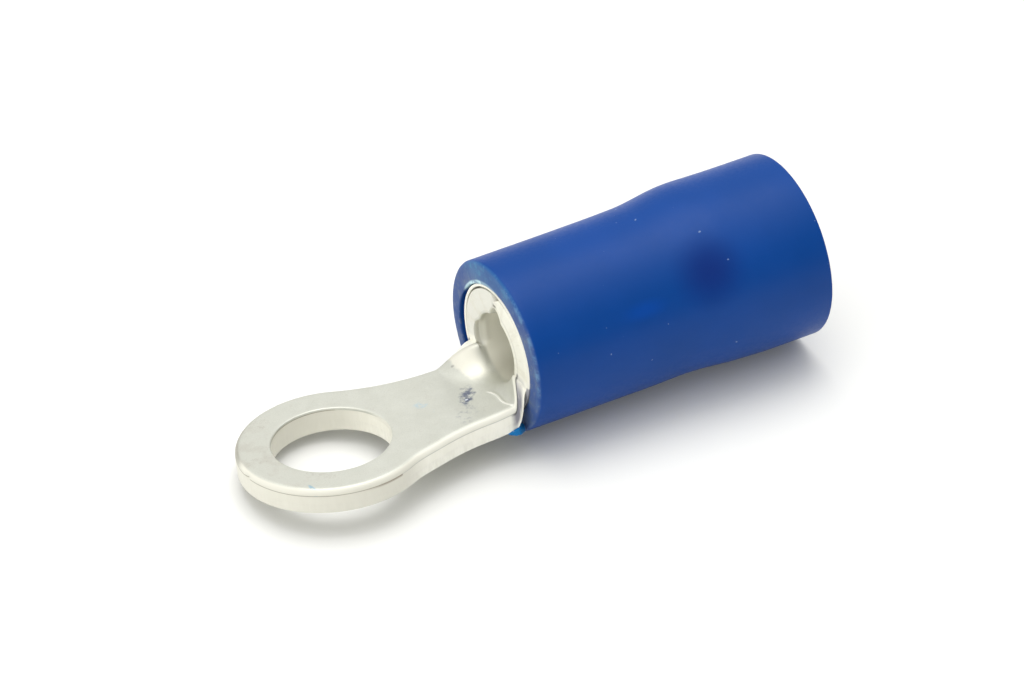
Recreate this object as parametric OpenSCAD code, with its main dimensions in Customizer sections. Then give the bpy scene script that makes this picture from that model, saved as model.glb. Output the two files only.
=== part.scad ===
// Insulated crimp ring terminal with a support sleeve.
// The origin is the stud hole's centre on the tongue's underside. +X runs along the barrel
// to the wire entry, +Y is the terminal's left side and +Z points up through the stud hole.

/* [Ring] */
// Diameter of the stud hole
stud_hole_d = 3.7; // [3:0.1:4.2]
// Width across the ring
ring_w = 5.9; // [5.6:0.1:7]
// Thickness of the copper sheet
sheet_t = 0.8; // [0.6:0.05:0.9]
// Radius that the punch rolls along the upper edges of the outline
edge_roll = 0.18; // [0.08:0.02:0.24]
// Radius that the punch rolls along the upper edge of the stud hole
hole_roll = 0.18; // [0.14:0.02:0.24]

/* [Neck] */
// Width of the neck
neck_w = 3.6; // [3:0.1:4]
// Straight length of the neck ahead of the barrel
neck_l = 1.2; // [0.8:0.1:1.6]
// Length over which the left side of the neck curls up to the barrel
curl_left_l = 1.3; // [0.9:0.1:1.5]
// Length over which the right side of the neck curls up to the barrel
curl_right_l = 0.45; // [0.3:0.05:1.2]

/* [Barrel] */
// Distance from the stud hole's centre to the barrel's mouth
barrel_start = 5.8; // [5.4:0.1:7]
// Bore of the barrel, which takes the bare strands
barrel_bore_d = 2.2; // [1.8:0.1:2.6]
// Length of the barrel
barrel_l = 5; // [4:0.1:5.5]
// Distance that the barrel is rolled to the right of the ring's centre line
barrel_offset = 0.1; // [0:0.02:0.2]
// Height of the barrel's underside over the tongue's underside
barrel_rise = 0.09; // [0:0.01:0.3]
// Gap between the butted edges of the seam
seam_gap = 0.04; // [0.02:0.01:0.1]
// Angle from the top of the barrel to the seam, towards the right side
seam_turn = 10; // [0:1:20]
// Depth of the outer groove where the two edges butt
seam_groove = 0.14; // [0.06:0.02:0.2]
// Depth at the mouth of the inner bevel on the two corners at the seam
corner_bevel = 0.56; // [0.2:0.02:0.6]
// Length along the barrel over which that inner bevel runs out
corner_bevel_l = 0.6; // [0.3:0.05:1]

/* [Support sleeve] */
// Wall of the support sleeve
support_wall = 0.12; // [0.08:0.01:0.2]
// Clearance all round between the barrel and the support sleeve
support_fit = 0.03; // [0.02:0.01:0.06]
// Distance from the support sleeve's rear end to the insulating sleeve's rear end
support_inset = 1; // [0.5:0.1:2]

/* [Insulating sleeve] */
// Length of the insulating sleeve
sleeve_l = 10.3; // [9:0.1:12]
// Wall of the insulating sleeve
sleeve_wall = 0.62; // [0.4:0.02:0.9]
// Clearance all round between the support sleeve and the insulating sleeve
sleeve_play = 0.1; // [0.04:0.01:0.15]
// Distance from the sleeve's front to the start of its flare
flare_start = 5.2; // [3.5:0.1:5.5]
// Length of the flare
flare_l = 2.2; // [1.5:0.1:2.4]
// Growth of the radius over the flare
flare_h = 0.16; // [0.1:0.02:0.3]
// Further growth of the outer radius from the flare to the rear end
rear_taper = 0.03; // [0:0.01:0.1]
// Rounding of the insulating sleeve's ends
sleeve_edge = 0.12; // [0.05:0.01:0.2]

/* [Hidden] */

// The barrel is rolled from the same sheet as the tongue.
bore_r = barrel_bore_d / 2;
barrel_r = bore_r + sheet_t;
roll_r = bore_r + sheet_t / 2;
axis_z = barrel_rise + barrel_r;

// The sleeves are sized from the barrel outwards.
support_in_r = barrel_r + support_fit;
support_out_r = support_in_r + support_wall;
sleeve_in_r = support_out_r + sleeve_play;
sleeve_out_r = sleeve_in_r + sleeve_wall;

// The loose sleeve is pushed over to the left until it nearly touches the support sleeve.
touch_gap = 0.04;
sleeve_shift = sleeve_play - touch_gap;

// The waist is an arc that is tangent to the ring and to the neck.
ring_r = ring_w / 2;
neck_half = neck_w / 2;
waist_x = barrel_start - neck_l;
waist_r = (waist_x * waist_x / (ring_r - neck_half) - ring_r - neck_half) / 2;
waist_turn = atan2(neck_half + waist_r, waist_x);

// The rolled neck runs this far into the barrel's wall, and stays this far under its faces.
neck_lap = 0.15;
lap_step = 0.01;

// Steps of the curves
ring_steps = 26;
waist_steps = 8;
neck_steps = 16;
edge_steps = 3;
columns = 16;
flare_steps = 10;
rows = ring_steps + waist_steps + neck_steps + 1;
levels = edge_steps + 1;

// A ramp from 0 to 1 that starts and ends level
function ramp(u) = let (c = min(1, max(0, u))) c * c * (3 - 2 * c);

// A point of the blank's left edge, drawn in by inset. Row 0 is the ring's tip.
function edge_point(row, inset) =
    row <= ring_steps ? ring_point(row / ring_steps, inset)
    : row <= ring_steps + waist_steps ? waist_point((row - ring_steps) / waist_steps, inset)
    : neck_point((row - ring_steps - waist_steps) / neck_steps, inset);

function ring_point(u, inset) =
    let (turn = 180 - (180 - waist_turn) * u)
    (ring_r - inset) * [cos(turn), sin(turn)];

function waist_point(u, inset) =
    let (turn = 180 + waist_turn + (90 - waist_turn) * u)
    [waist_x, neck_half + waist_r] + (waist_r + inset) * [cos(turn), sin(turn)];

function neck_point(u, inset) =
    [u > 1 ? barrel_start + neck_lap : waist_x + neck_l * u, neck_half - inset];

// Height and inset of each level of the blank's edge, from its underside to its top
function level_height(level) =
    level == 0 ? 0 : sheet_t - edge_roll * (1 - sin(90 * (level - 1) / edge_steps));

function level_inset(level) =
    level == 0 ? 0 : edge_roll * (1 - cos(90 * (level - 1) / edge_steps));

// Share of the barrel's curvature that the sheet has reached, on one side of the middle
function curl(x, length) = ramp((x - barrel_start + length) / length);

// Rolls a point of the flat blank: x along it, across its width, height through the sheet.
// The line that stays at the bottom of the barrel lies to the right of the blank's middle.
function rolled(x, across, height) =
    let (from_line = across + barrel_offset)
    let (share = curl(x, from_line < 0 ? curl_right_l : curl_left_l))
    let (bend = max(share, 0.0001) / roll_r)
    let (turn = from_line * bend * 180 / PI)
    let (thin = 1 - share * 2 * lap_step / sheet_t)
    let (depth = (height - sheet_t / 2) * thin)
    let (lift = barrel_rise * curl(x, curl_left_l))
    [x,
     sin(turn) / bend - depth * sin(turn) - barrel_offset,
     sheet_t / 2 + lift + (1 - cos(turn)) / bend + depth * cos(turn)];

// One row of the blank as a closed loop: underside, left edge, top and right edge
function row_loop(row) =
    let (low = edge_point(row, 0))
    let (high = edge_point(row, edge_roll))
    concat(
        [for (c = [0:columns]) rolled(low[0], low[1] * (2 * c / columns - 1), 0)],
        [for (l = [1:levels - 1]) edge_at(row, l, 1)],
        [for (c = [columns:-1:0]) rolled(high[0], high[1] * (2 * c / columns - 1), sheet_t)],
        [for (l = [levels - 1:-1:1]) edge_at(row, l, -1)]
    );

function edge_at(row, level, side) =
    let (p = edge_point(row, level_inset(level)))
    rolled(p[0], side * p[1], level_height(level));

loop_size = 2 * (columns + 1) + 2 * (levels - 1);

// The ring's tip is a single point at each level, so its row is one upright line.
tip_line = [for (l = [0:levels]) edge_at(0, l, 1)];

// Positions in a loop: underside, left edge from the underside up, and right edge likewise
function under_at(c) = c;
function left_at(level) = columns + level;
function top_at(c) = columns + levels + columns - c;
function right_at(level) = level == 0 ? 0 : loop_size - level;

// Two triangles on four corners
function quad(a, b, c, d) = [[a, b, c], [a, c, d]];

function flat(lists) = [for (list = lists) each list];

// The sheet metal of the ring, tongue and neck, before the stud hole is punched
module rolled_sheet() {
    points = concat(tip_line, flat([for (row = [1:rows]) row_loop(row)]));
    first = levels + 1;
    last = first + (rows - 1) * loop_size;
    sides = [
        for (row = [0:rows - 2], i = [0:loop_size - 1])
        let (a = first + row * loop_size, j = (i + 1) % loop_size)
        each quad(a + i, a + i + loop_size, a + j + loop_size, a + j)
    ];
    tip_edges = [
        for (l = [0:levels - 1])
        each concat(
            quad(l, first + left_at(l), first + left_at(l + 1), l + 1),
            quad(l, l + 1, first + right_at(l + 1), first + right_at(l))
        )
    ];
    tip_faces = [
        for (c = [0:columns - 1])
        each [
            [0, first + under_at(c), first + under_at(c + 1)],
            [levels, first + top_at(c + 1), first + top_at(c)]
        ]
    ];
    end_face = [
        for (c = [0:columns - 1])
        each quad(last + under_at(c), last + top_at(c), last + top_at(c + 1), last + under_at(c + 1))
    ];
    end_edges = [
        for (l = [0:levels - 2])
        each [
            [last + left_at(0), last + left_at(l + 2), last + left_at(l + 1)],
            [last + right_at(0), last + right_at(l + 1), last + right_at(l + 2)]
        ]
    ];
    polyhedron(points, concat(sides, tip_edges, tip_faces, end_face, end_edges));
}

// Takes the stud hole and its rolled lip out of the sheet. The start of the round is turned
// away from the sheet's middle line, where the rolled sheet has an edge of its own.
module stud_hole() {
    lip_r = stud_hole_d / 2 + hole_roll;
    start_turn = 37;
    rotate([0, 0, start_turn]) {
        translate([0, 0, -sheet_t]) cylinder(d = stud_hole_d, h = 3 * sheet_t, $fn = 96);
        rotate_extrude($fn = 96)
            polygon(concat(
                [for (i = [0:edge_steps])
                    let (turn = 180 - 90 * i / edge_steps)
                    [lip_r + hole_roll * cos(turn), sheet_t - hole_roll * (1 - sin(turn))]],
                [[lip_r, 2 * sheet_t], [0, 2 * sheet_t], [0, sheet_t - hole_roll]]
            ));
    }
}

// Puts what is drawn along +X from the barrel's mouth in its place
module at_barrel() {
    translate([barrel_start, -barrel_offset, axis_z]) children();
}

// A groove tool with a right-angled edge along X that points down or, when turned over, up
module v_tool(length, turned) {
    rotate([turned ? 225 : 45, 0, 0]) cube([length, barrel_r, barrel_r]);
}

// The tube that the sheet is rolled into, with its two edges butted at the seam
module barrel() {
    past = 1;
    bevel_slope = atan(corner_bevel / corner_bevel_l);
    bevel_run = norm([corner_bevel, corner_bevel_l]);
    at_barrel() rotate([seam_turn, 0, 0]) difference() {
        rotate([0, 90, 0]) cylinder(r = barrel_r, h = barrel_l, $fn = 96);
        translate([-past, 0, 0]) rotate([0, 90, 0])
            cylinder(d = barrel_bore_d, h = barrel_l + 2 * past, $fn = 96);
        translate([-past, -seam_gap / 2, 0]) cube([barrel_l + 2 * past, seam_gap, barrel_r + past]);
        translate([-past, 0, barrel_r - seam_groove]) v_tool(barrel_l + 2 * past, false);
        translate([0, 0, bore_r + corner_bevel]) rotate([0, bevel_slope, 0])
            translate([-past, 0, 0]) v_tool(past + bevel_run, true);
    }
}

// The terminal is one piece of tinned copper: ring, tongue, neck and barrel.
module terminal() {
    color("#d6d3c8") {
        difference() {
            rolled_sheet();
            stud_hole();
        }
        barrel();
    }
}

// Growth of both sleeves at a distance from their front
function flare_at(x) = flare_h * ramp((x - flare_start) / flare_l);

// Points [radius, distance] along a sleeve's flared wall, between its front and its rear
function flared_wall(radius, front, rear) = concat(
    [[radius, front]],
    [for (i = [0:flare_steps])
        let (x = flare_start + flare_l * i / flare_steps) [radius + flare_at(x), x]],
    [[radius + flare_h, rear]]
);

function reversed(list) = [for (i = [len(list) - 1:-1:0]) list[i]];

// Revolves a wall's outline round the barrel's axis, from the barrel's mouth on
module round_barrel(outline) {
    at_barrel() rotate([0, 90, 0]) rotate_extrude($fn = 128) polygon(outline);
}

// The support sleeve is a thin tinned tube that flares with the plastic at the rear.
module support_sleeve() {
    rear = sleeve_l - support_inset;
    color("#cfccc2")
        round_barrel(concat(
            flared_wall(support_out_r, 0, rear),
            reversed(flared_wall(support_in_r, 0, rear))
        ));
}

// The insulating sleeve is a blue plastic tube with a wider rear end for the insulated wire.
module insulating_sleeve() {
    rear_r = sleeve_out_r + flare_h + rear_taper;
    front_edge = [
        for (i = [0:edge_steps])
        let (turn = 90 * i / edge_steps)
        [sleeve_out_r - sleeve_edge * (1 - sin(turn)), sleeve_edge * (1 - cos(turn))]
    ];
    rear_edge = [
        for (i = [0:edge_steps])
        let (turn = 90 * i / edge_steps)
        [rear_r - sleeve_edge * (1 - cos(turn)), sleeve_l - sleeve_edge * (1 - sin(turn))]
    ];
    outer_flare = [
        for (i = [0:flare_steps])
        let (x = flare_start + flare_l * i / flare_steps)
        [sleeve_out_r + flare_at(x), x]
    ];
    color("#2150aa")
        translate([0, sleeve_shift, 0])
            round_barrel(concat(
                front_edge,
                outer_flare,
                rear_edge,
                reversed(flared_wall(sleeve_in_r, 0, sleeve_l))
            ));
}

terminal();
support_sleeve();
insulating_sleeve();
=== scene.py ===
import math

import bmesh
import bpy
from mathutils import Matrix, Vector, noise


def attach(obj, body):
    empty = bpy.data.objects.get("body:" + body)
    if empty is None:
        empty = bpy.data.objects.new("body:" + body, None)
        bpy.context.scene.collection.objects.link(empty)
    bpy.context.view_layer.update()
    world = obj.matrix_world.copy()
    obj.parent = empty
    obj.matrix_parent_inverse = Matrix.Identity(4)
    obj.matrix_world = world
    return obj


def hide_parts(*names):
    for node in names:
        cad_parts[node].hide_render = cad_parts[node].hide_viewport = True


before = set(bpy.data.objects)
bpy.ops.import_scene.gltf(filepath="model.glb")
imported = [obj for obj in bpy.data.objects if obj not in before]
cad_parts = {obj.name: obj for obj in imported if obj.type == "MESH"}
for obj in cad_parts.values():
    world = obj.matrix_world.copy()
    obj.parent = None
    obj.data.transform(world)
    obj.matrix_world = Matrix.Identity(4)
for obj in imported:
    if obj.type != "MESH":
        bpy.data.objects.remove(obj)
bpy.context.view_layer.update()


# ---- Room and camera ---------------------------------------------------------------------------
# The terminal lies loose on a white table, on the front rim and the flare of its sleeve, and leans
# a little to its left, so that the ring hangs clear of the table. The camera stands level and looks
# down at the terminal from its right and from behind the ring's tip.

mm = 0.001
room_up = Vector((0.0257, -0.1316, 1)).normalized()

camera_back = Vector((-0.3792, -0.7745, 0.5063)).normalized()
camera_right = room_up.cross(camera_back).normalized()
camera_aim = Vector((6.653, 0.502, 1.610)) * mm
camera_distance = 208.15 * mm


def facing(back, right, place):
    """The placement of a camera or lamp at a place, with its own Z and X directions given."""
    turned = Matrix((right, back.cross(right), back)).transposed().to_4x4()
    return Matrix.Translation(place) @ turned


camera = bpy.data.objects.new("camera", bpy.data.cameras.new("camera"))
camera.data.lens = 238.39
camera.data.sensor_width = 36
camera.data.clip_start = 10 * mm
camera.matrix_world = facing(camera_back, camera_right, camera_aim + camera_back * camera_distance)
bpy.context.scene.collection.objects.link(camera)
bpy.context.scene.camera = camera
bpy.context.scene.view_settings.view_transform = "Standard"

# ---- Studio light ------------------------------------------------------------------------------
# A white tent lights the terminal, mostly from overhead and from its ring's end. It is greyer
# towards the table, and open and dark on the terminal's right side, where the camera stands.
# One wide lamp hangs overhead and a little behind the terminal.

tent_strength = 2.0
lamp_size = 300 * mm
lamp_distance = 400 * mm
lamp_energy = 0.66


class Wire:
    """A shader socket to reckon with: an expression on wires adds its Math nodes."""

    def __init__(self, socket):
        self.socket = socket

    def node(self, kind, settings=None, sockets=None, output=0):
        """Adds a node with its settings, then sets or links its sockets, and returns an output."""
        tree = self.socket.id_data
        added = tree.nodes.new("ShaderNode" + kind)
        for name, value in (settings or {}).items():
            if name == "stops":
                set_stops(added.color_ramp, value)
            else:
                setattr(added, name, value)
        for name, value in (sockets or {}).items():
            if isinstance(value, Wire):
                tree.links.new(value.socket, added.inputs[name])
            else:
                added.inputs[name].default_value = value
        return Wire(added.outputs[output])

    def math(self, operation, first, second=0.0):
        """Adds a Math node."""
        return self.node("Math", {"operation": operation}, {0: first, 1: second})

    def __add__(self, other):
        return self.math("ADD", self, other)

    def __radd__(self, other):
        return self.math("ADD", other, self)

    def __sub__(self, other):
        return self.math("SUBTRACT", self, other)

    def __rsub__(self, other):
        return self.math("SUBTRACT", other, self)

    def __mul__(self, other):
        return self.math("MULTIPLY", self, other)

    def __rmul__(self, other):
        return self.math("MULTIPLY", other, self)

    def feed(self, shader, name):
        """Links this wire to a named input of a shader node."""
        self.socket.id_data.links.new(self.socket, shader.inputs[name])


def set_stops(ramp, stops):
    """Gives a colour ramp its stops, each a place and a grey."""
    while len(ramp.elements) < len(stops):
        ramp.elements.new(0.5)
    for element, (place, grey) in zip(ramp.elements, stops):
        element.position = place
        element.color = (grey, grey, grey, 1)


def new_tree(owner):
    """Empties a world's or a material's node tree and returns it with its output node."""
    owner.use_nodes = True
    tree = owner.node_tree
    tree.nodes.clear()
    kind = "World" if isinstance(owner, bpy.types.World) else "Material"
    return tree, tree.nodes.new("ShaderNodeOutput" + kind)


def level(direction):
    """The part of a direction that lies along the table."""
    return (direction - room_up * direction.dot(room_up)).normalized()


def seen_along(direction, way):
    """How much a direction points one way."""
    return direction.node("VectorMath", {"operation": "DOT_PRODUCT"}, {0: direction, 1: way}, "Value")


def between(value, low, high, out_low=0.0, out_high=1.0):
    """A smooth step of a value from low to high."""
    return value.node("MapRange", {"interpolation_type": "SMOOTHSTEP"}, {
        "Value": value, "From Min": low, "From Max": high, "To Min": out_low, "To Max": out_high})


def mixed(factor, first, second, blend="MIX"):
    """Mixes two colours."""
    pair = [colour if isinstance(colour, Wire) else (*colour, 1) for colour in (first, second)]
    settings = {"data_type": "RGBA", "blend_type": blend}
    return factor.node("Mix", settings, {0: factor, 6: pair[0], 7: pair[1]}, 2)


world = bpy.data.worlds.new("studio")
bpy.context.scene.world = world
tree, output = new_tree(world)
direction = Wire(tree.nodes.new("ShaderNodeTexCoord").outputs["Generated"])
height = seen_along(direction, room_up)
open_side = seen_along(direction, level(Vector((-0.1, -1, 0))))
ring_end = seen_along(direction, level(Vector((-1, -0.4, 0))))
tent_stops = [(0.00, 0.26), (0.30, 0.29), (0.60, 0.38), (0.85, 0.73), (1.00, 0.98)]
tent = height.node("ValToRGB", {"stops": tent_stops}, {"Fac": height})
dark = between(open_side, -0.2, 0.4) * between(height, 0.92, 0.55) * 0.77
bright = between(ring_end, 0.3, 0.9) * between(height, 0.95, 0.6) * 0.55
tent = mixed(dark, tent, (0, 0, 0))
tent = mixed(bright, tent, (1, 1, 1), "ADD")
background = tree.nodes.new("ShaderNodeBackground")
background.inputs["Strength"].default_value = tent_strength
tent.feed(background, "Color")
tree.links.new(background.outputs[0], output.inputs["Surface"])

lamp = bpy.data.objects.new("overhead_lamp", bpy.data.lights.new("overhead_lamp", "AREA"))
lamp.data.size = lamp_size
lamp.data.energy = lamp_energy
lamp_back = (room_up - level(camera_back) * 0.25).normalized()
lamp.matrix_world = facing(lamp_back, camera_right, lamp_back * lamp_distance)
bpy.context.scene.collection.objects.link(lamp)

# ---- Table -------------------------------------------------------------------------------------
# A seamless sheet of white card, which touches the lowest point of the terminal. To the eye and in
# reflections it is a little less white than to the light, and glows faintly in its shadows.

table_size = 1.2

bpy.ops.object.select_all(action="DESELECT")
cad_points = [vertex.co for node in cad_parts.values() for vertex in node.data.vertices]
lowest = min(point.dot(room_up) for point in cad_points)
bpy.ops.mesh.primitive_plane_add(size=table_size)
table = bpy.context.object
table.name = "table"
table.matrix_world = facing(room_up, camera_right, room_up * lowest)
card = bpy.data.materials.new("white_card")
tree, output = new_tree(card)
shader = tree.nodes.new("ShaderNodeBsdfPrincipled")
shader.inputs["Roughness"].default_value = 1
shader.inputs["Specular IOR Level"].default_value = 0
shader.inputs["Emission Strength"].default_value = 1
rays = tree.nodes.new("ShaderNodeLightPath").outputs
seen = Wire(rays["Is Camera Ray"]) + Wire(rays["Is Glossy Ray"]) + Wire(rays["Is Transmission Ray"])
seen = between(seen, 0, 1)
mixed(seen, (0.92, 0.92, 0.91), (0.765, 0.765, 0.745)).feed(shader, "Base Color")
mixed(seen, (0, 0, 0), (0.055, 0.055, 0.05)).feed(shader, "Emission Color")
tree.links.new(shader.outputs[0], output.inputs["Surface"])
table.data.materials.append(card)

# ---- Terminal ----------------------------------------------------------------------------------
# One stamping of tinned copper sheet. The ring, the neck and the two wings are blanked flat with
# the stud hole, and the wings are then rolled up into the barrel until their ends meet on top.
# The press leaves a rolled upper edge, a smooth sheared wall and a torn strip under it.

# The blank is drawn flat and in millimetres, and the last step rolls it up. An arc round the waist's
# centre joins the ring to the neck.
sheet = 0.8
edge_roll = 0.18
hole_roll = 0.05
hole_rim = 1.85 + hole_roll
ring_r = 2.95
neck_half = 1.8
waist = Vector((4.6, 8.625))
waist_r = 6.825
mouth_x = 5.8
rear_x = 10.8
barrel_r = 1.5
barrel_offset = 0.1
barrel_rise = 0.09
curl_left = 1.3
curl_right = 0.45
seam_turn = math.radians(10)
half_gap = 0.02
left_end = barrel_r * (math.pi + seam_turn) - barrel_offset - half_gap
right_end = -barrel_r * (math.pi - seam_turn) - barrel_offset + half_gap

# The ring is drawn as spokes, of which the front ones end on a straight line across the waist.
waist_line = 2.3
front_spokes = 32
back_spokes = 112
ring_loops = 9
wing_columns = 30
tiny = 0.0001


def begin(name, add, **settings):
    """Adds a primitive with a name and opens it for editing."""
    bpy.ops.object.select_all(action="DESELECT")
    add(**settings)
    piece = bpy.context.object
    piece.name = piece.data.name = name
    bpy.ops.object.mode_set(mode="EDIT")
    return piece


def pick(piece, test):
    """Selects just the edges of a piece that pass a test."""
    bpy.ops.mesh.select_mode(type="EDGE")
    bpy.ops.mesh.select_all(action="DESELECT")
    form = bmesh.from_edit_mesh(piece.data)
    for edge in form.edges:
        if test(edge):
            edge.select_set(True)
    form.select_flush_mode()
    bmesh.update_edit_mesh(piece.data)


def draw_on(piece, place):
    """Extrudes the selected edges and moves each new vertex to its place."""
    bpy.ops.mesh.extrude_edges_indiv()
    form = bmesh.from_edit_mesh(piece.data)
    for vertex in form.verts:
        if vertex.select:
            vertex.co = place(vertex)
    bmesh.update_edit_mesh(piece.data)


def ramp(share):
    """A rise from 0 to 1 that starts and ends level."""
    share = min(1, max(0, share))
    return share * share * (3 - 2 * share)


def half_width(x):
    """Half the width of the drawn-in sheet from the waist to the barrel's mouth."""
    if x > waist.x:
        return neck_half - edge_roll
    return waist.y - math.sqrt((waist_r + edge_roll) ** 2 - (waist.x - x) ** 2)


def outline_r(turn):
    """Distance from the hole's centre to the drawn-in outline, or to the line across the waist."""
    ray = Vector((math.cos(turn), abs(math.sin(turn))))
    if ray.x <= waist.x / waist.length:
        return ring_r - edge_roll
    to_line = waist_line / ray.x
    if to_line * ray.y < half_width(waist_line):
        return to_line
    reach = ray.dot(waist)
    return reach - math.sqrt(reach ** 2 - waist.length_squared + (waist_r + edge_roll) ** 2)


def on_spoke(turn, share):
    """A point on the sheet, a share of the way out from the stud hole to the outline."""
    r = hole_rim + (outline_r(turn) - hole_rim) * share
    return Vector((math.cos(turn) * r, math.sin(turn) * r, sheet))


front_steps = [2 * i / front_spokes - 1 for i in range(front_spokes + 1)]
turns = [math.atan2(half_width(waist_line) * step, waist_line) for step in front_steps]
back_start = turns[-1]
back_turn = (2 * math.pi - 2 * back_start) / back_spokes
turns += [back_start + back_turn * i for i in range(1, back_spokes)]

terminal = begin("terminal_sheet", bpy.ops.mesh.primitive_circle_add,
                 vertices=len(turns), radius=hole_rim, fill_type="NOTHING")
form = bmesh.from_edit_mesh(terminal.data)
for vertex, turn in zip(form.verts, turns):
    vertex.co = on_spoke(turn, 0)
bmesh.update_edit_mesh(terminal.data)
pick(terminal, lambda edge: True)
for loop in range(1, ring_loops + 1):
    draw_on(terminal, lambda vertex: on_spoke(math.atan2(vertex.co.y, vertex.co.x), loop / ring_loops))

# The neck and the middle of the barrel, row by row. The rows are close where the sheet bends.
rows = [waist_line + 0.1 * i for i in range(1, 20)] + [4.25 + 0.048 * i for i in range(36)]
rows += [mouth_x + edge_roll + 0.065 * i for i in range(8)]
rows += [6.6, 6.9, 7.4, 8.2, 9.2, 10.1, rear_x - edge_roll]
pick(terminal, lambda edge: all(abs(vertex.co.x - waist_line) < tiny for vertex in edge.verts))
last_x = waist_line
for row in rows:
    share = half_width(row) / half_width(last_x)
    draw_on(terminal, lambda vertex: Vector((row, vertex.co.y * share, sheet)))
    last_x = row

# The wings
wing_start = mouth_x + edge_roll - tiny
for side, end in ((1, left_end - edge_roll), (-1, right_end + edge_roll)):
    edge_y = side * (neck_half - edge_roll)
    pick(terminal, lambda edge: all(
        abs(vertex.co.y - edge_y) < tiny and vertex.co.x > wing_start for vertex in edge.verts))
    for step in range(1, wing_columns + 1):
        y = edge_y + (end - edge_y) * step / wing_columns
        draw_on(terminal, lambda vertex: Vector((vertex.co.x, y, sheet)))

# The underside, turned over
bpy.ops.mesh.select_mode(type="FACE")
bpy.ops.mesh.select_all(action="SELECT")
bpy.ops.mesh.normals_make_consistent(inside=False)
form = bmesh.from_edit_mesh(terminal.data)
if sum(face.normal.z for face in form.faces) < 0:
    bpy.ops.mesh.flip_normals()
bpy.ops.mesh.duplicate()
bpy.ops.transform.translate(value=(0, 0, -sheet))
bpy.ops.mesh.flip_normals()


def on_upper_rim(edge):
    """Whether an edge is an open one of the upper face."""
    return len(edge.link_faces) == 1 and edge.verts[0].co.z > sheet / 2


# Each point of the upper rim learns its place and the way out of the sheet, which the walls keep.
form = bmesh.from_edit_mesh(terminal.data)
base = form.verts.layers.float_vector.new("base")
outward = form.verts.layers.float_vector.new("outward")
form.verts.layers.float.new("cut")
for vertex in form.verts:
    ways = []
    for edge in filter(on_upper_rim, vertex.link_edges):
        along = (edge.verts[1].co - edge.verts[0].co).normalized()
        way = along.cross(Vector((0, 0, 1)))
        middle = (edge.verts[0].co + edge.verts[1].co) / 2
        inward = edge.link_faces[0].calc_center_median() - middle
        ways.append(way if way.dot(inward) < 0 else -way)
    if ways:
        vertex[base] = vertex.co
        vertex[outward] = (ways[0] + ways[1]) / (1 + ways[0].dot(ways[1]))
bmesh.update_edit_mesh(terminal.data)


def roll_at(place):
    """Inset and roll of the rim at a place: small at the hole and on the wings, larger elsewhere."""
    if place.xy.length < 2.2:
        return hole_roll, hole_roll
    wing = ramp((abs(place.y) - neck_half + edge_roll) / 0.25) * ramp((place.x - mouth_x + 0.1) / 0.2)
    return edge_roll, edge_roll - 0.12 * wing


def on_roll(place, turn):
    """How far out and down the rolled edge reaches at an angle."""
    inset, own = roll_at(place)
    return inset - own + own * math.sin(turn), own * (1 - math.cos(turn))


def on_cut(place, drop, recess):
    """How far out and down the cut face reaches. The tear starts at an uneven height."""
    inset, own = roll_at(place)
    down = own + drop * (sheet - own) / (sheet - edge_roll)
    if 0.25 < drop < 0.4:
        down += noise.noise(place * 1.7) * 0.04 + noise.noise(place * 9) * 0.012
    return inset - recess, down


def draw_rim(kind, reach):
    """Draws the walls on by one step, and marks it with its kind of cut."""
    form = bmesh.from_edit_mesh(terminal.data)
    base = form.verts.layers.float_vector["base"]
    outward = form.verts.layers.float_vector["outward"]
    cut = form.verts.layers.float["cut"]

    def place(vertex):
        out, down = reach(vertex[base])
        vertex[cut] = kind
        return vertex[base] + vertex[outward] * out - Vector((0, 0, down))

    draw_on(terminal, place)


# The rolled upper edge, a fine line under it, the smooth wall, the torn strip and the lower edge.
# The kinds of cut are 0.5 for the line, 1 for the smooth wall and 2 for the torn strip.
rolled_edge, fine_line, smooth, torn_strip = 0.0, 0.5, 1.0, 2.0
roll_steps = 6
pick(terminal, on_upper_rim)
for step in range(1, roll_steps + 1):
    draw_rim(rolled_edge, lambda place: on_roll(place, math.radians(90 * step / roll_steps)))
for kind, drop, recess in (
        (fine_line, 0.022, 0.008),
        (smooth, 0.05, 0.002), (smooth, 0.12, 0.0), (smooth, 0.26, 0.0), (smooth, 0.30, 0.002),
        (torn_strip, 0.33, 0.008), (torn_strip, 0.42, 0.010), (torn_strip, 0.53, 0.008),
        (torn_strip, 0.60, 0.010), (torn_strip, 0.62, 0.025)):
    draw_rim(kind, lambda place: on_cut(place, drop, recess))
draw_rim(torn_strip, lambda place: (0, sheet))
bpy.ops.mesh.select_all(action="SELECT")
bpy.ops.mesh.remove_doubles(threshold=0.002)
bpy.ops.mesh.normals_make_consistent(inside=False)


def mound(place, centre, size):
    """A soft round rise of height 1 about a place on the sheet."""
    return math.exp(-(((place.x - centre[0]) / size[0]) ** 2 + ((place.y - centre[1]) / size[1]) ** 2))


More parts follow.
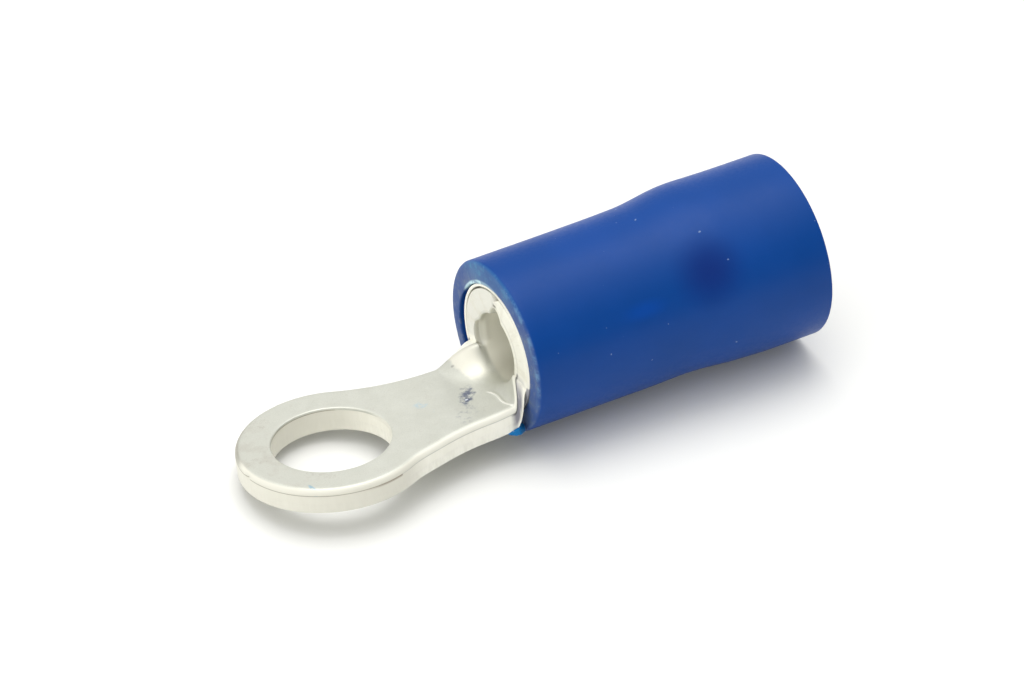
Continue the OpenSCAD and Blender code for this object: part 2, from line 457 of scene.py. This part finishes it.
def worked(place, kind):
    """Moves a point of the blank where it was bevelled, squeezed or dented."""
    x, y, z = place
    past_mouth = x - mouth_x
    # The wings' ends are bevelled inside at the mouth and rounded outside along the seam.
    to_seam = min(left_end - y, y - right_end)
    bevel = max(0, 0.56 * min(1, 1 - past_mouth / 0.6) - to_seam)
    z *= 1 - min(0.75, bevel / sheet)
    flared = 0.10 * max(0, 1 - past_mouth / 0.4) if past_mouth > -0.1 else 0
    groove = max(0, 0.14 + flared - to_seam)
    z = sheet - (sheet - z) * (1 - groove / sheet)
    # The left wing's mouth was scraped thinner inside.
    scraped = 0.20 * ramp((y - 1.5) / 0.5) * ramp((3.1 - y) / 0.5) * max(0, 1 - past_mouth / 0.25)
    z *= 1 - scraped * ramp((past_mouth + 0.05) / 0.04) / sheet
    # The right side of the neck spread a little.
    if y < 0:
        y *= 1 + 0.048 * ramp((x - 1.4) / 1.4) * ramp((6.3 - x) / 0.5)
    # The floor on the right carries a crease where the sheet was squeezed as the wing came up.
    top = ramp((z - 0.3) / 0.4)
    crease_x = 5.16 - 0.16 * (y + 0.5) + 0.05 * math.sin(6 * y)
    crease = math.exp(-((x - crease_x) / 0.04) ** 2) * ramp((y + 1.75) / 0.2) * ramp((-0.45 - y) / 0.2)
    z += 0.02 * top * crease
    # Pits, and the slightly uneven face that the tinning left
    for centre, pit_size, depth in (
            ((3.25, -0.39), (0.05, 0.04), 0.02), ((5.02, 1.53), (0.06, 0.05), 0.02),
            ((1.51, 0.71), (0.04, 0.04), 0.012), ((4.53, -0.33), (0.14, 0.10), 0.015)):
        z -= depth * top * mound(place, centre, pit_size)
    z += 0.006 * noise.noise(Vector((x, y, 0)) * 0.9) * (top - 0.5)
    z += 0.0015 * noise.noise(Vector((x, y, 3)) * 6) * top
    # A nick in the rim at the ring's tip, and a step along the right rim where the tool changed over
    x += 0.10 * mound(place, (-2.93, -0.08), (0.10, 0.07)) * mound(Vector((z, 0)), (0.6, 0), (0.10, 1))
    if kind > 0.2 and y < 0 and x < 0.95 and Vector((x, y)).length > 2.4:
        y += 0.012 * ramp((0.95 - x) / 0.05) * ramp((0.62 - z) / 0.05)
    return Vector((x, y, z))


def rolled(place):
    """Where a point of the flat blank comes to lie when the neck and the wings are rolled up."""
    x, y, z = place
    from_line = y + barrel_offset
    left = ramp((x - mouth_x + curl_left) / curl_left)
    share = left if from_line > 0 else ramp((x - mouth_x + curl_right) / curl_right)
    bend = max(share, tiny) / barrel_r
    turn = from_line * bend
    depth = z - sheet / 2
    return Vector((
        x,
        math.sin(turn) / bend - depth * math.sin(turn) - barrel_offset,
        sheet / 2 + barrel_rise * left + (1 - math.cos(turn)) / bend + depth * math.cos(turn)))


bpy.ops.object.mode_set(mode="OBJECT")
blank = terminal.data.attributes.new("blank", "FLOAT_VECTOR", "POINT")
kinds = terminal.data.attributes["cut"]
for vertex in terminal.data.vertices:
    blank.data[vertex.index].vector = vertex.co
    vertex.co = rolled(worked(vertex.co, kinds.data[vertex.index].value)) * mm
bpy.ops.object.shade_smooth_by_angle(angle=math.radians(40))


def surface_of(name):
    """A new material with a Principled surface, that shader and the object's coordinates."""
    material = bpy.data.materials.new(name)
    tree, output = new_tree(material)
    shader = tree.nodes.new("ShaderNodeBsdfPrincipled")
    tree.links.new(shader.outputs[0], output.inputs["Surface"])
    place = Wire(tree.nodes.new("ShaderNodeTexCoord").outputs["Object"])
    return material, shader, place


def noise_at(place, scale, detail=2.0, roughness=0.5):
    """Noise of mean 0.5 over a place, in features of 1 / scale of its unit."""
    return place.node("TexNoise", {"noise_dimensions": "3D"},
                      {"Vector": place, "Scale": scale, "Detail": detail, "Roughness": roughness}, "Fac")


def parts_of(vector):
    """The three coordinates of a vector."""
    return [vector.node("SeparateXYZ", {}, {"Vector": vector}, axis) for axis in "XYZ"]


def stretched(vector, scale, shift=(0, 0, 0)):
    """A vector times a scale along each axis, and shifted."""
    return vector.node("VectorMath", {"operation": "MULTIPLY_ADD"}, {0: vector, 1: scale, 2: shift}, "Vector")


def spot(across, along, wide, long):
    """A soft round spot, 1 at its middle, from the distances across and along to that middle."""
    across = across * (1 / wide)
    along = along * (1 / long)
    return between(across * across + along * along, 1.0, 0.2)


def bumped(shader, height, strength, distance):
    """Gives a shader a bump from a height."""
    sockets = {"Height": height, "Strength": strength, "Distance": distance}
    height.node("Bump", {}, sockets, "Normal").feed(shader, "Normal")


# Tin plate on the terminal: matt and warm white, finely mottled, and stained towards the ring's tip.
# Its colour follows places on the flat blank, and the kind of cut.
tin_plate, shader, place = surface_of("tin_plate")
on_blank = place.node("Attribute", {"attribute_name": "blank"}, {}, "Vector")
kind = place.node("Attribute", {"attribute_name": "cut"}, {}, "Fac")
x, y, z = parts_of(on_blank)
upright = stretched(on_blank, (1, 1, 0.3))
streaks = noise_at(upright, 7, 3, 0.6)
grain = noise_at(on_blank, 24, 3, 0.65)
cloud = noise_at(on_blank, 1.3, 4, 0.6)
blots = noise_at(on_blank, 4, 4, 0.65)
ragged = noise_at(on_blank, 4.5, 4, 0.7)
face = mixed(between(cloud, 0.3, 0.7), (0.59, 0.595, 0.525), (0.635, 0.64, 0.57))
face = mixed(between(grain, 0.40, 0.75) * 0.4, face, (0.52, 0.52, 0.455))
stains = between(x, 0.5, -2.8) * between(cloud, 0.40, 0.62)
stains = stains + between(noise_at(on_blank, 3, 5, 0.7), 0.56, 0.66) * 0.5
face = mixed(between(stains, 0, 1.5, 0, 0.45), face, (0.40, 0.365, 0.30))

# The cut face is lighter, streaked upright, and greyer round the ring.
streaked = between(streaks, 0.3, 0.7)
on_wall = between(kind, 0.6, 0.9)
on_torn = between(kind, 1.3, 1.8)
at_ring = between(x, 2.2, 1.0)
wall = mixed(streaked, (0.88, 0.865, 0.75), (0.93, 0.915, 0.805))
torn = mixed(streaked, (0.83, 0.815, 0.71), (0.93, 0.915, 0.81))
wall = mixed(at_ring * 0.75, mixed(on_torn, wall, torn), (0.62, 0.605, 0.515))
colour = mixed(on_wall, face, wall)

# A blue-black smudge with a flake of bare tin, two faint ink spots, a speck and a tick on the rim
across = (x - 4.56) * 0.85 - (y + 0.25) * 0.52 + (blots - 0.5) * 0.5
along = (x - 4.60) * 0.52 + (y + 0.25) * 0.85
inked = between(across * across * 16 + along * along * 2.1, 1.0, 0.2)
trail = between(across * across * 7 + (along + 0.9) * (along + 0.9) * 1.2, 1.0, 0.1)
smudge = inked * between(ragged, 0.34, 0.58) + trail * between(ragged, 0.46, 0.66) * 0.4
flake = spot(x - 4.44, y + 0.44, 0.07, 0.05)
speck = spot(x - 4.92, y - 1.38, 0.06, 0.06)
ink = spot(x - 3.17, y - 0.12, 0.30, 0.24) + spot(x - 3.27, y + 0.40, 0.14, 0.12)
ink = ink * between(ragged, 0.46, 0.60)
tick = spot(x + 1.77, y + 2.20, 0.08, 0.34) * between(z, 0.58, 0.64) * between(ragged, 0.36, 0.48)
colour = mixed(smudge * 0.9, colour, (0.11, 0.13, 0.20))
colour = mixed(flake * 0.9, colour, (0.85, 0.88, 0.92))
colour = mixed(speck * 0.6, colour, (0.28, 0.27, 0.24))
colour = mixed(ink * 0.45, colour, (0.40, 0.56, 0.66))
colour = mixed(tick * 0.7, colour, (0.22, 0.42, 0.55))

# The right corner of the rolled neck is painted grey in streaks, and dark under its upper edge: painted shade
# in the concave corner under the curled edge.
right_corner = between(x, 5.15, 5.4) * between(x, 5.95, 5.82) * between(y, -1.2, -1.6)
corner_shade_streaks = noise_at(stretched(on_blank, (9, 9, 2)), 1, 3, 0.6)
# Painted shade on the corner's cut face, broken into streaks.
corner_shade = right_corner * on_wall * between(z, 0.02, 0.25) * between(x, 5.80, 5.58, 0.35, 1.0)
colour = mixed(corner_shade * between(corner_shade_streaks, 0.2, 0.55, 0.5, 0.95), colour, (0.20, 0.195, 0.23))

# The fine line under the rolled edge is painted brown, a painted shade in the small recess there, most of all
# where the tool changed over.
marked = between(kind, 0.25, 0.45)
line = marked * between(kind, 0.85, 0.6) * between(x, 1.0, 0.92, 0.15, 0.8)
wide_shade_line = marked * between(z, 0.50, 0.57) * between(x, -0.8, 0.5) * between(x, 1.0, 0.92)
line = line + wide_shade_line * between(y, -1, -2) * 0.7
colour = mixed(between(line, 0, 1), colour, (0.29, 0.245, 0.175))
# A dark line of painted shade under the corner's upper edge.
shade_under_corner_edge = right_corner * between(z, 0.50, 0.58) * between(z, 0.76, 0.68)
colour = mixed(shade_under_corner_edge * 0.85, colour, (0.05, 0.05, 0.05))

# A painted highlight lies on the crease's crest. The left rim is painted darker, a painted shade, and the
# tip's and the right one are painted lighter, a painted highlight.
from_crease = x - 5.16 + (y + 0.5) * 0.16 - y.math("SINE", y * 6) * 0.05
crease = between(from_crease * from_crease, 0.0022, 0.0004) * between(y, -0.4, -0.6) * between(y, -1.75, -1.6)
far_rim_shade = between(z, 0.797, 0.77) * between(y, 0.3, 1.0) * between(x, 5.1, 4.5) * (1 - on_wall)
far_rim_shade = far_rim_shade * between(x * x + y * y, 5.2, 6.2)
near_rim_highlight = between(z, 0.795, 0.765) * between(z, 0.60, 0.64) * between(y, 0.8, 0.2)
colour = mixed(crease * 0.7, colour, (0.98, 0.97, 0.90))
colour = mixed(far_rim_shade * 0.6, colour, (0.36, 0.34, 0.285))
colour = mixed(near_rim_highlight, colour, mixed(at_ring, (0.82, 0.805, 0.70), (0.70, 0.685, 0.59)))

# The barrel's bore is painted darker on its right, as is the floor that leads to it, and lighter on its left:
# painted shade and light.
# The left wing's mouth, scraped thinner, is painted grey inside, a painted shade, and the bulge of the neck
# before it carries a painted highlight.
in_barrel = between(x, 5.86, 6.0) * between(z, 0.3, 0.6) * (1 - on_wall)
bore = mixed(between(y, 0.4, 1.4), (0.60, 0.58, 0.475), (0.91, 0.89, 0.765))
colour = mixed(in_barrel * 0.85, colour, bore)
floor_end = between(x, 5.2, 5.8) * between(x, 6.4, 5.8) * between(y, 0.6, 0.2) * between(z, 0.3, 0.6)
colour = mixed(floor_end * (1 - on_wall) * 0.35, colour, (0.52, 0.52, 0.42))
at_mouth = between(x, 5.70, 5.76)
slant = between(y, 2.1, 3.0) * 0.24
wing_end_shade = at_mouth * between(z - slant, 0.59, 0.61) * between(y, 1.5, 1.8) * between(y, 3.0, 2.95)
left_inside = at_mouth * between(y, 1.7, 1.9) * between(x, 6.3, 5.9) * between(z, 0.5, 0.6)
left_inside = left_inside * between(between(x, 5.85, 5.88) + wing_end_shade, 0.2, 0.6)
colour = mixed(left_inside * 0.7, colour, (0.50, 0.49, 0.40))
# A painted highlight on the bulge of the neck.
swept = x + (cloud - 0.5) * 0.25 + (y - 1.1) * 0.1
bulge_highlight = between(swept, 4.94, 5.06) * between(x, 5.85, 5.45) * between(y, 0.1, 0.8) * between(z, 0.5, 0.7)
colour = mixed(bulge_highlight * 0.9, colour, (0.80, 0.78, 0.675))

# The cut faces along the seam are darker near the mouth. The wings' front edges are pale, greyer on the left,
# with a few marks.
seam_darkening = between(y, right_end + 0.32, right_end + 0.14) + between(y, left_end - 0.32, left_end - 0.14)
seam_darkening = seam_darkening * between(x, 6.8, 6.0) * between(kind, 0.2, 0.5)
wing_front = at_mouth * between(x, 5.95, 5.85) * between(y * y, 3.6, 4.2)
wing_marks = wing_front * between(noise_at(upright, 4, 3, 0.65), 0.48, 0.62)
wing_tint = mixed(between(y, -1, 1), (0.84, 0.83, 0.71), (0.67, 0.665, 0.59))
colour = mixed(seam_darkening * 0.6, colour, (0.30, 0.26, 0.19))
colour = mixed(wing_front * 0.8, colour, wing_tint)
# The left wing's end face at the mouth is painted darker, a painted shade.
colour = mixed(wing_end_shade * between(x, 5.90, 5.86) * 0.9, colour, (0.42, 0.41, 0.34))
colour = mixed(wing_marks * 0.3, colour, (0.62, 0.59, 0.46))
colour.feed(shader, "Base Color")
metal = 0.55 - in_barrel * 0.40 - on_wall * 0.5 - near_rim_highlight * 0.45
between(metal, 0, 1).feed(shader, "Metallic")
(between(grain, 0.3, 0.7, 0.42, 0.52) + smudge * 0.1).feed(shader, "Roughness")
bumped(shader, grain + streaks * on_wall * 0.5, 0.35, 0.004 * mm)
terminal.data.materials.clear()
terminal.data.materials.append(tin_plate)
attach(terminal, "root")
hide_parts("terminal")

# ---- Support sleeve ----------------------------------------------------------------------------
# A thin tinned brass tube, cut from drawn stock. It is pushed over the barrel, and it flares with
# the plastic sleeve at the rear.

support_axis = Vector((0, -0.1, 1.99))
support_l = 9.3
support_out = 2.05
support_in = 1.93
support_edge = 0.04
support_in_edge = 0.02
support_rows = [0.4, 1.5, 3.0, 4.3]
flare_start = 5.2
flare_l = 2.2
flare_h = 0.16
flare_steps = 10
flare_rows = [flare_start + flare_l * i / flare_steps for i in range(flare_steps + 1)]
bow_h = 0.085
around = 160


def flare_at(x):
    """How much wider both sleeves are at a distance from their front."""
    return flare_h * ramp((x - flare_start) / flare_l)


def rounded(r, x, edge, start):
    """Points of a rounded rim about a centre: a quarter circle of 5 steps from an angle in degrees."""
    angles = [math.radians(start + 18 * i) for i in range(6)]
    return [(r + edge * math.cos(angle), x + edge * math.sin(angle)) for angle in angles]


def draw_tube(name, axis, wall, uneven):
    """Draws a tube along its wall's outline, given as radius and distance from the barrel's mouth."""
    def wall_point(turn, r, x):
        wider, longer = uneven(turn, r, x)
        r += wider
        return Vector((mouth_x + x + longer, axis.y + r * math.cos(turn), axis.z + r * math.sin(turn)))

    tube = begin(name, bpy.ops.mesh.primitive_circle_add, vertices=around, radius=1, fill_type="NOTHING")
    form = bmesh.from_edit_mesh(tube.data)
    for vertex in form.verts:
        vertex.co = wall_point(math.atan2(vertex.co.y, vertex.co.x), *wall[0])
    bpy.ops.mesh.select_all(action="SELECT")
    for r, x in wall[1:] + wall[:1]:
        draw_on(tube, lambda vertex: wall_point(
            math.atan2(vertex.co.z - axis.z, vertex.co.y - axis.y), r, x))
    bpy.ops.mesh.select_all(action="SELECT")
    bpy.ops.mesh.remove_doubles(threshold=0.001)
    bpy.ops.mesh.normals_make_consistent(inside=False)
    # Both sleeves bow upwards a little where they flare.
    form = bmesh.from_edit_mesh(tube.data)
    for vertex in form.verts:
        vertex.co.z += bow_h * math.exp(-((vertex.co.x - mouth_x - 6.6) / 1.3) ** 2)
    bmesh.update_edit_mesh(tube.data)
    bpy.ops.transform.resize(value=(mm, mm, mm), center_override=(0, 0, 0))
    bpy.ops.object.mode_set(mode="OBJECT")
    bpy.ops.object.shade_smooth_by_angle(angle=math.radians(35))
    return tube


support_wall = (
    rounded(support_out - support_edge, support_edge, support_edge, -90)
    + [(support_out, x) for x in support_rows]
    + [(support_out + flare_at(x), x) for x in flare_rows]
    + rounded(support_out + flare_h - support_edge, support_l - support_edge, support_edge, 0)
    + rounded(support_in + flare_h + support_edge, support_l - support_edge, support_edge, 90)
    + [(support_in + flare_at(x), x) for x in reversed(flare_rows)]
    + [(support_in, x) for x in reversed(support_rows)]
    + rounded(support_in + support_in_edge, support_in_edge, support_in_edge, 180))


def thin_tube(turn, r, x):
    """The thin tube is not quite round, its front was cut unevenly and its rim opens at the top."""
    front = ramp(1 - x / 1.5)
    way = Vector((math.cos(turn), math.sin(turn), 5))
    wider = 0.008 * noise.noise(way * 1.3)
    if r < 2.0:
        wider += 0.05 * max(0, math.cos(turn - 1.7)) ** 2 - 0.018 * max(0, -math.cos(turn))
    return wider * front, 0.02 * noise.noise(way * 1.8) * ramp(1 - x)


support = draw_tube("support_tube", support_axis, support_wall, thin_tube)
tin_sleeve, shader, place = surface_of("tin_sleeve")
x, y, z = parts_of(stretched(place, (1 / mm, 1 / mm, 1 / mm)))
grain = noise_at(place, 22000, 3, 0.6)
cloud = noise_at(place, 900, 2, 0.5)
cut_end = between(x, 5.90, 5.84)
colour = mixed(between(cloud, 0.3, 0.7), (0.74, 0.73, 0.70), (0.86, 0.85, 0.82))
colour = mixed(cut_end, colour, (0.88, 0.865, 0.77))
# Its cut end is lighter, and painted dark towards its bottom, a painted shade.
colour = mixed(cut_end * between(z, 1.48, 1.40), colour, (0.34, 0.34, 0.37))
colour.feed(shader, "Base Color")
(0.82 - cut_end * 0.6).feed(shader, "Metallic")
between(grain, 0.3, 0.7, 0.36, 0.46).feed(shader, "Roughness")
bumped(shader, grain, 0.3, 0.003 * mm)
support.data.materials.clear()
support.data.materials.append(tin_sleeve)
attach(support, "root")
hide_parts("support_sleeve")

# ---- Insulating sleeve -------------------------------------------------------------------------
# A tube of blue PVC, extruded, cut to length and flared over a mandrel at the rear for the
# insulated wire. It grips the support sleeve only lightly and hangs a little to the left.

blue_axis = Vector((0, -0.03, 1.99))
blue_l = 10.3
blue_out = 2.77
blue_in = 2.15
blue_rear = blue_out + flare_h + 0.03
front_edge = 0.12
rear_edge = 0.06
bore_edge = 0.05
blue_rows = [0.7, 1.3, 2.0, 2.8, 3.6, 4.4]
blue_wall = (
    rounded(blue_out - front_edge, front_edge, front_edge, -90)
    + [(blue_out, x) for x in [0.3] + blue_rows]
    + [(blue_out + flare_at(x), x) for x in flare_rows]
    + [(blue_rear - 0.02, 8.4), (blue_rear - 0.01, 9.3)]
    + rounded(blue_rear - rear_edge, blue_l - rear_edge, rear_edge, 0)
    + [(2.6, blue_l)]
    + rounded(blue_in + flare_h + rear_edge, blue_l - rear_edge, rear_edge, 90)
    + [(blue_in + flare_h, x) for x in (9.3, 8.4)]
    + [(blue_in + flare_at(x), x) for x in reversed(flare_rows)]
    + [(blue_in, x) for x in reversed(blue_rows)]
    + rounded(blue_in + bore_edge, bore_edge, bore_edge, 180)
    + [(2.35, 0.0), (2.5, 0.0)])


def soft_tube(turn, r, x):
    """The soft tube is not quite round or straight, has a dent, and its front end was cut unevenly."""
    way = Vector((math.cos(turn), math.sin(turn), 9))
    wider = 0.010 * noise.noise(Vector((way.x, way.y, x * 0.5)) * 0.9) - 0.010
    if r > 2.4:
        wider += 0.02 * ramp(x / 5) * ramp((10.5 - x) / 3)
        wider -= 0.05 * mound(Vector((x, turn)), (6.3, 2.58), (0.8, 0.22))
    else:
        # The bore gapes on its left, and a burr stands in it at the upper left of its front.
        gape = 0.17 * max(0, math.cos(turn + 0.25)) ** 3 - 0.02 * max(0, math.sin(turn)) ** 2
        wider += gape * ramp(1 - x / 1.5)
        wider -= 0.11 * max(0, math.cos(turn - 1.15)) ** 4 * ramp(1.4 - x / 0.2)
    longer = 0.018 * noise.noise(way * 1.5 + Vector((0, 0, r))) * ramp(1 - x / 0.8)
    return wider, longer + 0.004 * ramp(1 - x)


blue = draw_tube("blue_tube", blue_axis, blue_wall, soft_tube)

# A shred of the plastic was scraped off the rim and is pressed against the neck's lower corner.
shred = begin("shred", bpy.ops.mesh.primitive_ico_sphere_add, subdivisions=5, radius=1)
form = bmesh.from_edit_mesh(shred.data)
for vertex in form.verts:
    along = (vertex.co.x + 1) / 2
    bent = ramp(along * 1.6 - 0.6)
    lump = 1 + 0.35 * noise.noise(vertex.co * 1.6 + Vector((3, 0, 0))) + 0.10 * noise.noise(vertex.co * 6)
    thick = (0.08 + 0.10 * along) * lump
    middle = Vector((5.06 + 0.78 * along, -1.86 + 0.34 * bent, 0.02 - 0.16 * bent))
    vertex.co = (middle + Vector((0, thick * vertex.co.y, thick * 1.1 * vertex.co.z))) * mm
bmesh.update_edit_mesh(shred.data)
bpy.ops.object.mode_set(mode="OBJECT")
bpy.ops.object.shade_smooth()
bpy.ops.object.select_all(action="DESELECT")
shred.select_set(True)
blue.select_set(True)
bpy.context.view_layer.objects.active = blue
bpy.ops.object.join()


def patch_at(place, centre, scale, reach):
    """A soft patch, 1 at a centre in millimetres and 0 from its reach on, narrower where scaled."""
    shift = [-part * factor * mm for part, factor in zip(centre, scale)]
    away = stretched(place, scale, shift)
    away = away.node("VectorMath", {"operation": "LENGTH"}, {0: away}, "Value")
    return between(away, reach * mm, 0.1 * mm)


# Blue plastic, satin and nearly even, with a painted dark reflection on the flare and a brighter patch before
# it
blue_pvc, shader, place = surface_of("blue_pvc")
x, y, z = parts_of(stretched(place, (1 / mm, 1 / mm, 1 / mm)))
cloud = noise_at(place, 350, 3, 0.5)
fine = noise_at(place, 9000, 2, 0.5)
patch = patch_at(place, (12.15, -2.38, 3.50), (1, 1, 1), 1.5)
brighter_patch = patch_at(place, (9.7333, -2.57, 3.0625), (0.6, 1, 1.6), 0.6)
colour = mixed(between(cloud, 0.3, 0.7), (0.0020, 0.0475, 0.234), (0.0032, 0.052, 0.258))
colour = mixed(patch * 0.8, colour, (0.0002, 0.016, 0.145))
colour = mixed(brighter_patch * 0.4, colour, (0.0005, 0.06, 0.38))

# The cut front is scraped greyish, and pale blue at the top. The shred is a fresh, lighter blue.
front = between(x, 5.9, 5.8)
scuffs = front * between(noise_at(place, 3600, 4, 0.7), 0.50, 0.66)
worn = front * between(noise_at(place, 700, 2, 0.5), 0.35, 0.65)
scraped = mixed(between(z, 3.6, 4.4), (0.26, 0.30, 0.28), (0.12, 0.33, 0.48))
colour = mixed(front * 0.10 + worn * 0.20 + scuffs * 0.24, colour, scraped)
colour = mixed(between(x, 5.79, 5.70), colour, (0.006, 0.155, 0.41))

# Frayed fringes at the front: inside at the top, painted pale with painted light on the shaded inner wall,
# and outside on the right. Dust lies all over.
up = z - 1.99
left = y + 0.03
from_axis = up * up + left * left
frayed = between(noise_at(place, 1700, 4, 0.7), 0.44, 0.60)
lit_inner_fringe = between(x, 6.1, 5.9) * between(from_axis, 4.75, 4.45)
lit_inner_fringe = lit_inner_fringe * between(up, 0.9, 1.5) * between(left, -0.7, 0.2)
outer_fringe = front * between(from_axis, 6.1, 7.0) * between(left, -0.8, -1.6) * between(up, -1.4, 0.0)
dust = between(noise_at(place, 6400, 1, 0.4), 0.785, 0.82)
colour = mixed(lit_inner_fringe * between(frayed, 0, 1, 0.4, 1), colour, (0.50, 0.72, 0.78))
colour = mixed(outer_fringe * frayed * 0.35, colour, (0.20, 0.42, 0.62))
colour = mixed(dust * 0.5, colour, (0.28, 0.38, 0.56))
colour.feed(shader, "Base Color")
(between(fine, 0.3, 0.7, 0.36, 0.44) + scuffs * 0.15 + patch * 0.15).feed(shader, "Roughness")
shader.inputs["Specular IOR Level"].default_value = 0.145
bumped(shader, noise_at(place, 1800, 3, 0.5), 0.25, 0.01 * mm)
blue.data.materials.clear()
blue.data.materials.append(blue_pvc)
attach(blue, "root")
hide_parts("insulating_sleeve")
